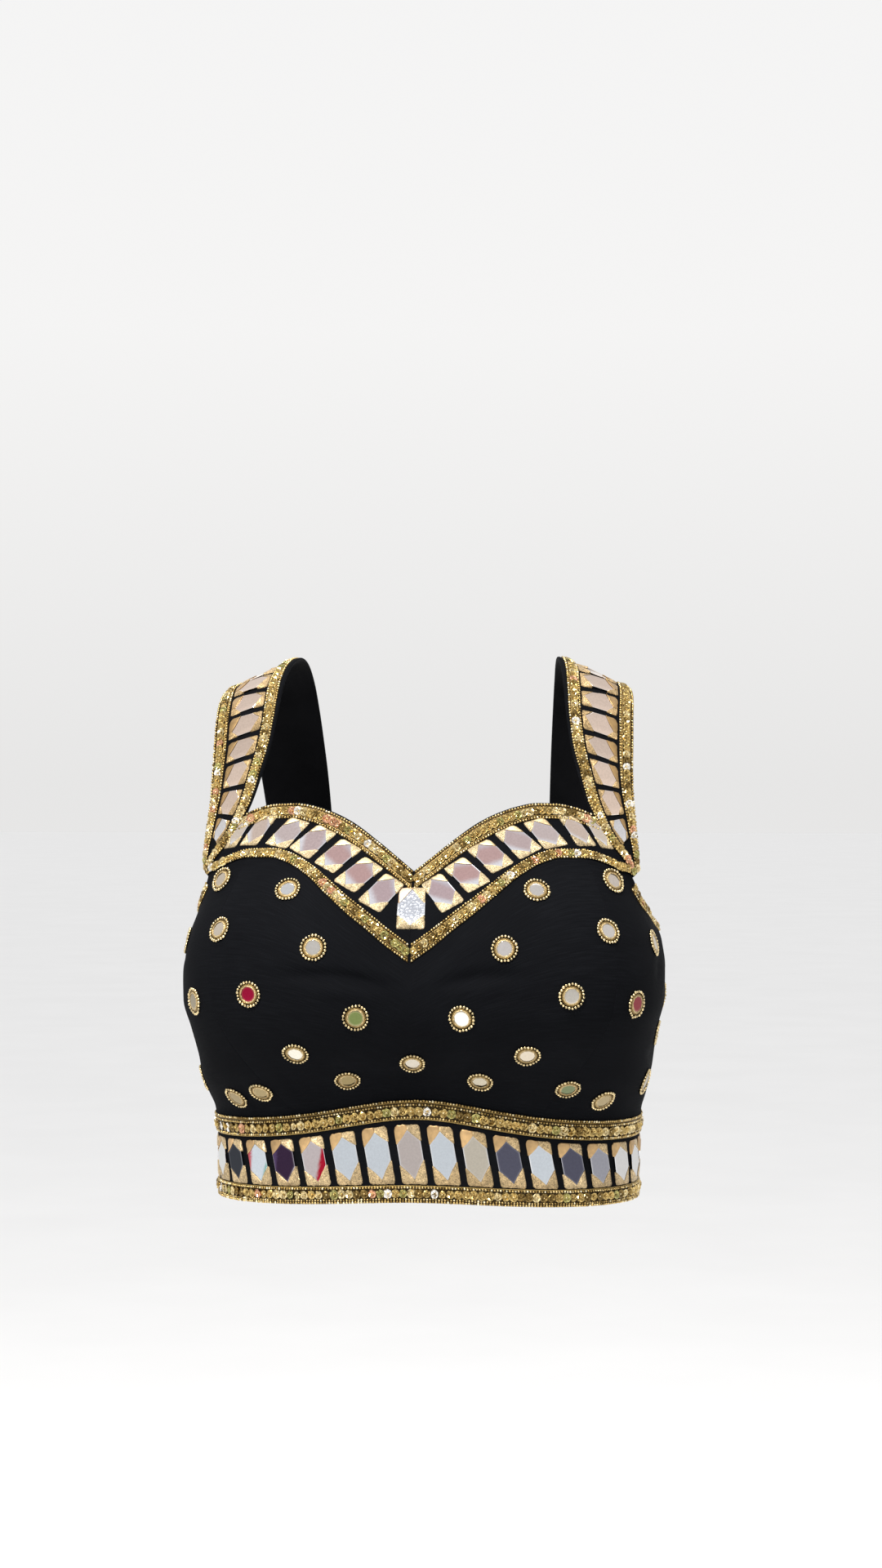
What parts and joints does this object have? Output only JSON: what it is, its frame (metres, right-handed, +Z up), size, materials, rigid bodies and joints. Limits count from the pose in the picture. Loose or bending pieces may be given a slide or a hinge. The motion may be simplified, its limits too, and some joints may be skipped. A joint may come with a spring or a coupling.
{
  "type": "sleeveless cropped blouse",
  "caption": "Sleeveless cropped blouse, worn hollow form: sweetheart neck band, wide shoulder straps, shaped cups, side and back panels, waist band, beaded trims, centre-back opening with hooks.",
  "frame": {"origin": "midway between the two shoulder straps, at the height where they rest on the shoulders", "axes": "+Z up; the wearer faces -Y; +X is the wearer's left"},
  "size_m": [0.2856, 0.2302, 0.3248],
  "materials": {
    "black_cloth": "black raw silk with a fine slub and a soft sheen",
    "gold_trim": "rows of gold beads and faceted sequins",
    "gold_patch": "champagne-gold metallic foil cloth",
    "mirror": "polished mirror chips",
    "dark_metal": "blackened wire"
  },
  "bodies": {
    "root": {"front_centre": "black_cloth", "front_side_L": "black_cloth", "front_side_R": "black_cloth", "back_L": "black_cloth", "back_R": "black_cloth", "neck_band_L": "black_cloth", "neck_band_R": "black_cloth", "strap_L": "black_cloth", "strap_R": "black_cloth", "waist_front": "black_cloth", "waist_back_L": "black_cloth", "waist_back_R": "black_cloth", "placket": "black_cloth", "trim_neck_top_L": "gold_trim", "trim_neck_top_R": "gold_trim", "trim_neck_low_L": "gold_trim", "trim_neck_low_R": "gold_trim", "trim_strap_neck_L": "gold_trim", "trim_strap_neck_R": "gold_trim", "trim_strap_arm_L": "gold_trim", "trim_strap_arm_R": "gold_trim", "trim_armhole_L": "gold_trim", "trim_armhole_R": "gold_trim", "trim_back_neck_L": "gold_trim", "trim_back_neck_R": "gold_trim", "trim_waist_top": "gold_trim", "trim_waist_low": "gold_trim", "hook_1": "dark_metal", "hook_2": "dark_metal", "hook_3": "dark_metal", "hook_4": "dark_metal", "hook_5": "dark_metal"}
  },
  "joints": []
}
